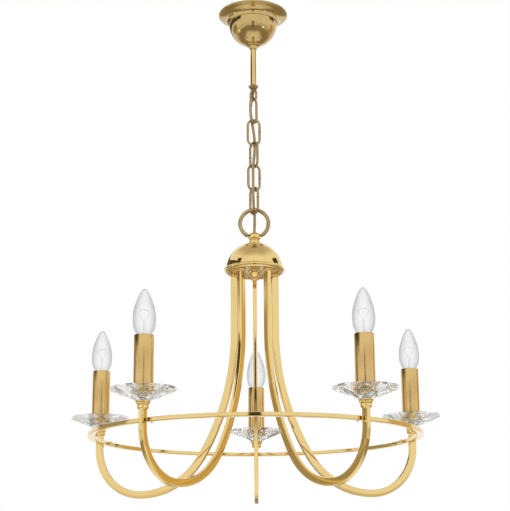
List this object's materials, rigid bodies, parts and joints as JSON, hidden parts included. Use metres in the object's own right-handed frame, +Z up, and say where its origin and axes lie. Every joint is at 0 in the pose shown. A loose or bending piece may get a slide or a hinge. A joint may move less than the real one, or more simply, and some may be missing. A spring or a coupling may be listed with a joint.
{
  "type": "chandelier",
  "caption": "Polished brass candle chandelier with curved arms, gallery hoop and cut-crystal dishes, hung by stem, chain and ring from a ceiling canopy.",
  "frame": {"origin": "centre of the fixing bracket's ceiling face, between its two screw slots", "axes": "+Z up into the ceiling, arm 1 points along +Y, the bracket's slots lie along X"},
  "size_m": [0.6236, 0.5982, 0.838],
  "materials": {
    "polished_brass": "mirror-polished and lacquered",
    "brushed_brass": "drawn tube, fine lengthwise grain",
    "stem_brass": "polished tube",
    "chain_brass": "antiqued satin brass",
    "cut_crystal": "cut and polished clear crystal",
    "lamp_glass": "clear blown glass",
    "lamp_cap_metal": "nickelled pressed cap",
    "flex_sheath": "satin gold-coloured sheath",
    "wire_sheath": "clear twin wire",
    "holder_plastic": "moulded",
    "terminal_plastic": "moulded",
    "zinc_steel": "zinc plated"
  },
  "bodies": {
    "ceiling_fixing": {"ceiling_bracket": "zinc_steel", "bracket_nuts": "zinc_steel", "terminal_block": "terminal_plastic", "stem_tube": "stem_brass", "stem_collar": "stem_brass", "stem_eye": "chain_brass", "flex_stem": "flex_sheath"},
    "canopy": {"canopy_flange": "polished_brass", "canopy_cup": "polished_brass", "canopy_collar": "polished_brass", "canopy_grub_screw": "zinc_steel"},
    "link_1": {"chain_link_1": "chain_brass", "flex_link_1": "flex_sheath"},
    "link_2": {"chain_link_2": "chain_brass", "flex_link_2": "flex_sheath"},
    "link_3": {"chain_link_3": "chain_brass", "flex_link_3": "flex_sheath"},
    "link_4": {"chain_link_4": "chain_brass", "flex_link_4": "flex_sheath"},
    "link_5": {"chain_link_5": "chain_brass", "flex_link_5": "flex_sheath"},
    "ring": {"suspension_ring": "chain_brass", "flex_ring": "flex_sheath"},
    "crown": {"ring_boss": "polished_brass", "crown_dome": "polished_brass", "crown_plate": "polished_brass", "crown_rod": "zinc_steel", "crown_nuts": "zinc_steel", "crown_finial": "polished_brass", "arm_ferrules": "polished_brass", "arm_fixings": "zinc_steel", "crown_wires": "wire_sheath", "arm_1": "polished_brass", "arm_2": "polished_brass", "arm_3": "polished_brass", "arm_4": "polished_brass", "arm_5": "polished_brass", "gallery_hoop": "polished_brass", "hoop_studs": "zinc_steel", "hoop_cap_nuts": "polished_brass", "candle_nuts": "polished_brass", "candle_cups": "polished_brass", "candle_nipples": "zinc_steel", "crystal_dish_1": "cut_crystal", "crystal_dish_2": "cut_crystal", "crystal_dish_3": "cut_crystal", "crystal_dish_4": "cut_crystal", "crystal_dish_5": "cut_crystal", "candle_sleeves": "brushed_brass", "lampholders": "holder_plastic"},
    "lamp_1": {"lamp_glass_1": "lamp_glass", "lamp_cap_1": "lamp_cap_metal"},
    "lamp_2": {"lamp_glass_2": "lamp_glass", "lamp_cap_2": "lamp_cap_metal"},
    "lamp_3": {"lamp_glass_3": "lamp_glass", "lamp_cap_3": "lamp_cap_metal"},
    "lamp_4": {"lamp_glass_4": "lamp_glass", "lamp_cap_4": "lamp_cap_metal"},
    "lamp_5": {"lamp_glass_5": "lamp_glass", "lamp_cap_5": "lamp_cap_metal"}
  },
  "joints": [
    {"name": "canopy_slide", "type": "slide", "parent": "ceiling_fixing", "child": "canopy", "axis": [0, 0, -1], "range_m": [0, 0.06]},
    {"name": "link_1_swing", "type": "hinge", "parent": "ceiling_fixing", "child": "link_1", "pos_m": [0, 0, -0.162], "axis": [0.866, -0.5, 0], "range_deg": [-30, 30], "deforming": ["flex_link_1", "flex_stem"]},
    {"name": "link_2_swing", "type": "hinge", "parent": "link_1", "child": "link_2", "pos_m": [0, 0, -0.2032], "axis": [0.5, 0.866, 0], "range_deg": [-30, 30], "deforming": ["flex_link_2"]},
    {"name": "link_3_swing", "type": "hinge", "parent": "link_2", "child": "link_3", "pos_m": [0, 0, -0.2443], "axis": [0.9994, 0.0349, 0], "range_deg": [-30, 30], "deforming": ["flex_link_3"]},
    {"name": "link_4_swing", "type": "hinge", "parent": "link_3", "child": "link_4", "pos_m": [0, 0, -0.2854], "axis": [0.6157, -0.788, 0], "range_deg": [-30, 30], "deforming": ["flex_link_4"]},
    {"name": "link_5_swing", "type": "hinge", "parent": "link_4", "child": "link_5", "pos_m": [0, 0, -0.3265], "axis": [0.9511, 0.309, 0], "range_deg": [-30, 30], "deforming": ["flex_link_5"]},
    {"name": "ring_swing", "type": "hinge", "parent": "link_5", "child": "ring", "pos_m": [0, 0, -0.3676], "axis": [0.6428, -0.766, 0], "range_deg": [-20, 20], "deforming": ["flex_ring"]},
    {"name": "crown_swing", "type": "hinge", "parent": "ring", "child": "crown", "pos_m": [0, 0, -0.40653], "axis": [1, 0, 0], "range_deg": [-35, 35]},
    {"name": "lamp_1_out", "type": "slide", "parent": "crown", "child": "lamp_1", "axis": [0, 0, 1], "range_m": [0, 0.05]},
    {"name": "lamp_2_out", "type": "slide", "parent": "crown", "child": "lamp_2", "axis": [0, 0, 1], "range_m": [0, 0.05]},
    {"name": "lamp_3_out", "type": "slide", "parent": "crown", "child": "lamp_3", "axis": [0, 0, 1], "range_m": [0, 0.05]},
    {"name": "lamp_4_out", "type": "slide", "parent": "crown", "child": "lamp_4", "axis": [0, 0, 1], "range_m": [0, 0.05]},
    {"name": "lamp_5_out", "type": "slide", "parent": "crown", "child": "lamp_5", "axis": [0, 0, 1], "range_m": [0, 0.05]}
  ]
}
